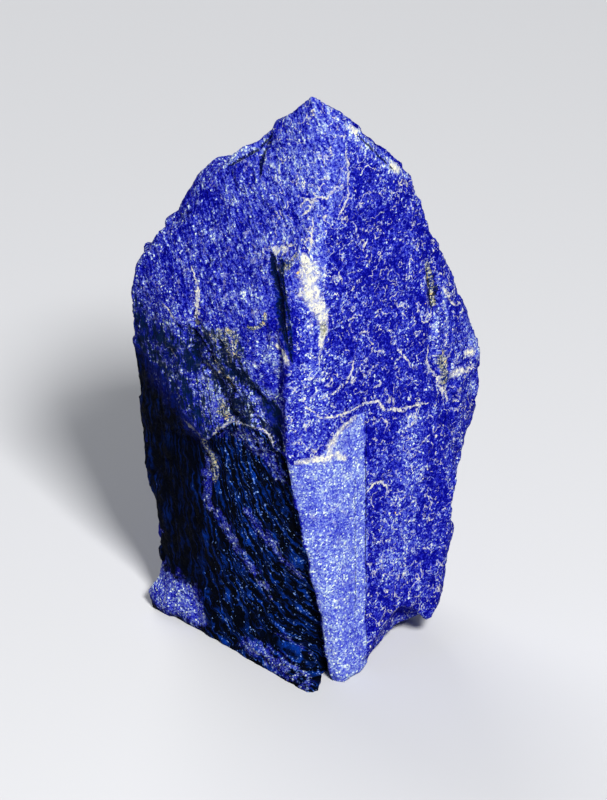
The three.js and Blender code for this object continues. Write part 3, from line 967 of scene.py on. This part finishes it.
# %% Pale grains on a deep ground
crowd = sum_of(0.1, *[(here, more_grains) for here, more_grains, _ in PLACES])
crowd = sum_of(crowd, (mottle, 0.42), (maths("MULTIPLY", worm_crowd, worm_share), 0.55))
fine_speck = rise(maths("ADD", fine_pick, crowd), 0.97, 1.15)
coarse_speck = rise(sum_of(coarse_pick, (crowd, 0.4)), 0.98, 1.04)
coarse_speck = maths("MULTIPLY", coarse_speck, rise(coarse["Distance"], 0.6, 0.3))
specks = sum_of(0.0, (maths("MULTIPLY", fine_speck, sum_of(0.12, (fine_third, 0.38))), 1.0),
                (maths("MULTIPLY", coarse_speck, sum_of(0.25, (coarse_other, 0.4))), 1.0))

tone = sum_of(0.06, *[(here, paler_ground) for here, _, paler_ground in PLACES])
tone = sum_of(tone, (fine_other, 0.34), (maths("MULTIPLY", speckle, calm), 0.9),
              (maths("MULTIPLY", mottle, calm), 0.4), (maths("MULTIPLY", specks, even), 1.0))
print("nodes so far:", len(tree.nodes))

# %% Five blues and a cream
NIGHT = paint(0, 1, 112)
DEEP = paint(11, 15, 143)
ROYAL = paint(37, 44, 165)
LAVENDER = paint(87, 100, 188)
MILK = paint(168, 188, 210)
CREAM = paint(216, 228, 212)

ramp = node("ValToRGB")
feed(ramp.inputs[0], maths("MAXIMUM", tone, 0.0, clamp=True))
stops = ramp.color_ramp.elements
stops[0].position, stops[0].color = 0.14, NIGHT
stops[1].position, stops[1].color = 1.0, CREAM
for position, colour in ((0.27, DEEP), (0.38, ROYAL), (0.6, LAVENDER), (0.9, MILK)):
    stops.new(position).color = colour
stone_colour = ramp.outputs["Color"]
print("five blues, from night to milk, and a cream")

# %% [markdown]
# ## Calcite over the blue
# The named veins are drawn from the skin's own distance to them. A plain distance never quite reaches zero
# between two points of the skin, so a thin line cut from it would come and go. This one has a sign, so it
# runs straight through zero on the vein and stays sharp. Noise makes the line swerve, and clouds break it. In
# the clouds of calcite every grain goes about half white, and the pale ones all the way.

# %% Draw the veins
CALCITE_GREY = paint(156, 160, 192)
CALCITE_CREAM = paint(226, 222, 188)


def drawn_line(name, swing):
    """A thin line from the skin's signed distance to it, made to swerve and break."""
    swerve = sum_of(noted(name + "_signed"), (clouds(1.4, 2), 2 * swing), (clouds(0.35, 2), swing))
    line = maths("MULTIPLY", rise(maths("ABSOLUTE", swerve), 1.35, 0.7), rise(noted(name + "_near"), 5, 3.4))
    return maths("MULTIPLY", line, rise(clouds(1.0, 2), -0.14, -0.05))


vein = maths("MULTIPLY", drawn_line("vein", 3.5), sum_of(0.6, (fine_other, 0.4)))
beads = maths("MULTIPLY", maths("MULTIPLY", worm_lines, worm_share), sum_of(0.35, (fine_other, 0.65)))
cream_grains = maths("MULTIPLY", calcite_here, maths("MAXIMUM", fine_speck, 0.45))
white_here = maths("MAXIMUM", maths("MAXIMUM", vein, beads, clamp=True), cream_grains)
stone_colour = blend(white_here, stone_colour, blend(coarse_third, CALCITE_GREY, CALCITE_CREAM))
print("calcite laid over the blue")

# %% [markdown]
# ## Pyrite
# Pyrite sits in small nests in rusty, darkened rock, and a few grains of it lie loose. Modelled one by one
# they would need meshes of their own, yet each is only one grain wide. So near each nest many grains turn
# ochre or cream, and one in a few is real metal.

# %% Brass
RUSTY_ROCK = paint(22, 44, 66)
OCHRE, STRAW = paint(92, 96, 44), paint(210, 208, 192)
BRASS = paint(232, 212, 156)
OCHRE_ABOVE, BRASS_ABOVE, LOOSE_ABOVE = 0.54, 0.95, 0.98

nest = rise(sum_of(noted("pyrite"), (clouds(1.2, 3), 4.5)), 1.7, 0.4)
stone_colour = blend(maths("MULTIPLY", nest, 0.6), stone_colour, RUSTY_ROCK)
ochre_grains = maths("MULTIPLY", nest, maths("GREATER_THAN", fine_third, OCHRE_ABOVE))
stone_colour = blend(maths("MULTIPLY", ochre_grains, 0.85), stone_colour, blend(fine_other, OCHRE, STRAW))
loose_brass = maths("GREATER_THAN", maths("MULTIPLY", coarse_other, coarse_third), LOOSE_ABOVE)
nest_brass = maths("MULTIPLY", nest, maths("GREATER_THAN", coarse_third, BRASS_ABOVE))
metal = maths("MAXIMUM", nest_brass, loose_brass)
stone_colour = blend(metal, stone_colour, BRASS)
print("pyrite in", len(PYRITE) + len(BACK_PYRITE), "nests")

# %% [markdown]
# ## Painted shade
# The torn wall faces away from the lamp, and its shade is painted into its colour: near-black, with
# lighter blue along the rib crests and small blue bits there, as painted highlights where the ribs catch
# the light. Shadows of the lamp alone would leave it as blue as the rest. Below the brow dark strands are
# painted shade between lit ribs, and the cracks and seams are painted darker still.

# %% Dark wall, in painted shade
WALL_SHADE_BLACK, RIB_HIGHLIGHT_BLUE = paint(0, 2, 11), paint(3, 50, 146)
BIT_BLUE, BIT_PALE = paint(14, 70, 168), paint(134, 168, 226)

# Towards the far left the painted rib highlights and bits fade, so the painted shade is deepest there.
far_left = noted("far_left")
painted_rib_highlight = maths("MULTIPLY", rise(ribs, -0.03, 0.22), sum_of(1.0, (far_left, -0.8)))
wall_bits = rise(sum_of(fine_pick, (painted_rib_highlight, 0.2), (rib_bits, 0.6), (far_left, -0.14)), 0.96, 1.08)
painted_shade_wall = blend(painted_rib_highlight, WALL_SHADE_BLACK, RIB_HIGHLIGHT_BLUE)
painted_shade_wall = blend(wall_bits, painted_shade_wall, blend(fine_other, BIT_BLUE, BIT_PALE))
painted_wall_shade_share = sum_of(1.15, (clouds(3.2, 3), 0.7), (bruise, -0.2), (lit_ribs, -0.85), (heel_here, -1.3),
                    (nest, -0.9), (noted("left_border"), -0.35))
stone_colour = blend(maths("MULTIPLY", wall_here, painted_wall_shade_share, clamp=True), stone_colour, painted_shade_wall)
print("nodes so far:", len(tree.nodes))

# %% Painted shade: gloom, strands, cracks and seams
GLOOM_BLUE = paint(4, 20, 92)
STRAND_SHADE = paint(2, 20, 44)
CRACK_SHADE = paint(3, 30, 84)
SEAM_SHADE = paint(1, 10, 34)

# Below the brow, dark strands where the rib noise is low: painted shade of small steps between lit ribs.
strands = rise(sum_of(below_here, (ribs, -2.2), (clouds(0.7, 3, wavy), 1.4), (clouds(2.4, 2), 1.8),
                      (nest, -0.25)), 0.8, 1.15)
# The cracks, seams and hairlines are painted dark inside, as painted shade in them.
painted_crack_shade = maths("MULTIPLY", noted("cracks"), sum_of(0.7, (clouds(0.7, 3, wavy), 2.4)), clamp=True)
seam = drawn_line("seam", 2.0)
for share, strength, colour in ((gloom_here, 0.8, GLOOM_BLUE), (strands, 0.9, STRAND_SHADE),
                                (painted_crack_shade, 1.0, CRACK_SHADE), (seam, 0.85, SEAM_SHADE)):
    stone_colour = blend(maths("MULTIPLY", share, strength), stone_colour, colour)
print("wall, gloom, strands and cracks laid over the stone")

# %% [markdown]
# ## Glitter
# Each grain breaks along its own face, so each one looks a slightly different way, and that is why rough
# lapis glitters although it isn't glossy. Grains as geometry would need millions of faces. Tipping the normal
# by a small random amount per grain gives the same sparkle, and a bump on top adds pits, streaks and ribs
# that are too small for the skin. The gloss itself is nearly nothing, so only the grains catch the lamp.

# %% Tip the grains and add fine relief
TIP = 0.42
RELIEF_HEIGHT = 0.2 * MM

tip = vectors("SUBTRACT", coarse["Color"], (0.5, 0.5, 0.5))
tipped = vectors("ADD", vectors("MULTIPLY", tip, (TIP, TIP, TIP)), node("NewGeometry").outputs["Normal"])
relief = sum_of(0.0, (maths("MULTIPLY", speckle, calm), 0.9), (maths("MULTIPLY", mottle, calm), 0.8),
                (roof_streaks_here, 2.2), (maths("MULTIPLY", ribs, wall_here), 3.4),
                (maths("MULTIPLY", ribs, below_here), 2.4), (fine_speck, 0.1), (white_here, 0.1),
                (seam, -1.0))
rough_skin = node("Bump")
rough_skin.inputs["Strength"].default_value = 0.9
rough_skin.inputs["Distance"].default_value = RELIEF_HEIGHT
feed(rough_skin.inputs["Height"], relief)
feed(rough_skin.inputs["Normal"], vectors("NORMALIZE", tipped, (0, 0, 0)))
print("grains tip by up to", round(math.degrees(math.atan(TIP / 2))), "degrees a side")

# %% Put it all on the shader
feed(shader.inputs["Normal"], rough_skin.outputs[0])
feed(shader.inputs["Base Color"], stone_colour)
feed(shader.inputs["Roughness"], sum_of(0.6, (coarse_other, 0.35)))
feed(shader.inputs["Metallic"], metal)
shader.inputs["Specular IOR Level"].default_value = 0.03
stone.data.materials.append(lapis)
print("the material has", len(tree.nodes), "nodes")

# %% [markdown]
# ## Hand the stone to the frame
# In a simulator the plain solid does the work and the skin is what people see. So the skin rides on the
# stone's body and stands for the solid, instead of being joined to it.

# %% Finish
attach(stone, "root")
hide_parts("lapis_stone")
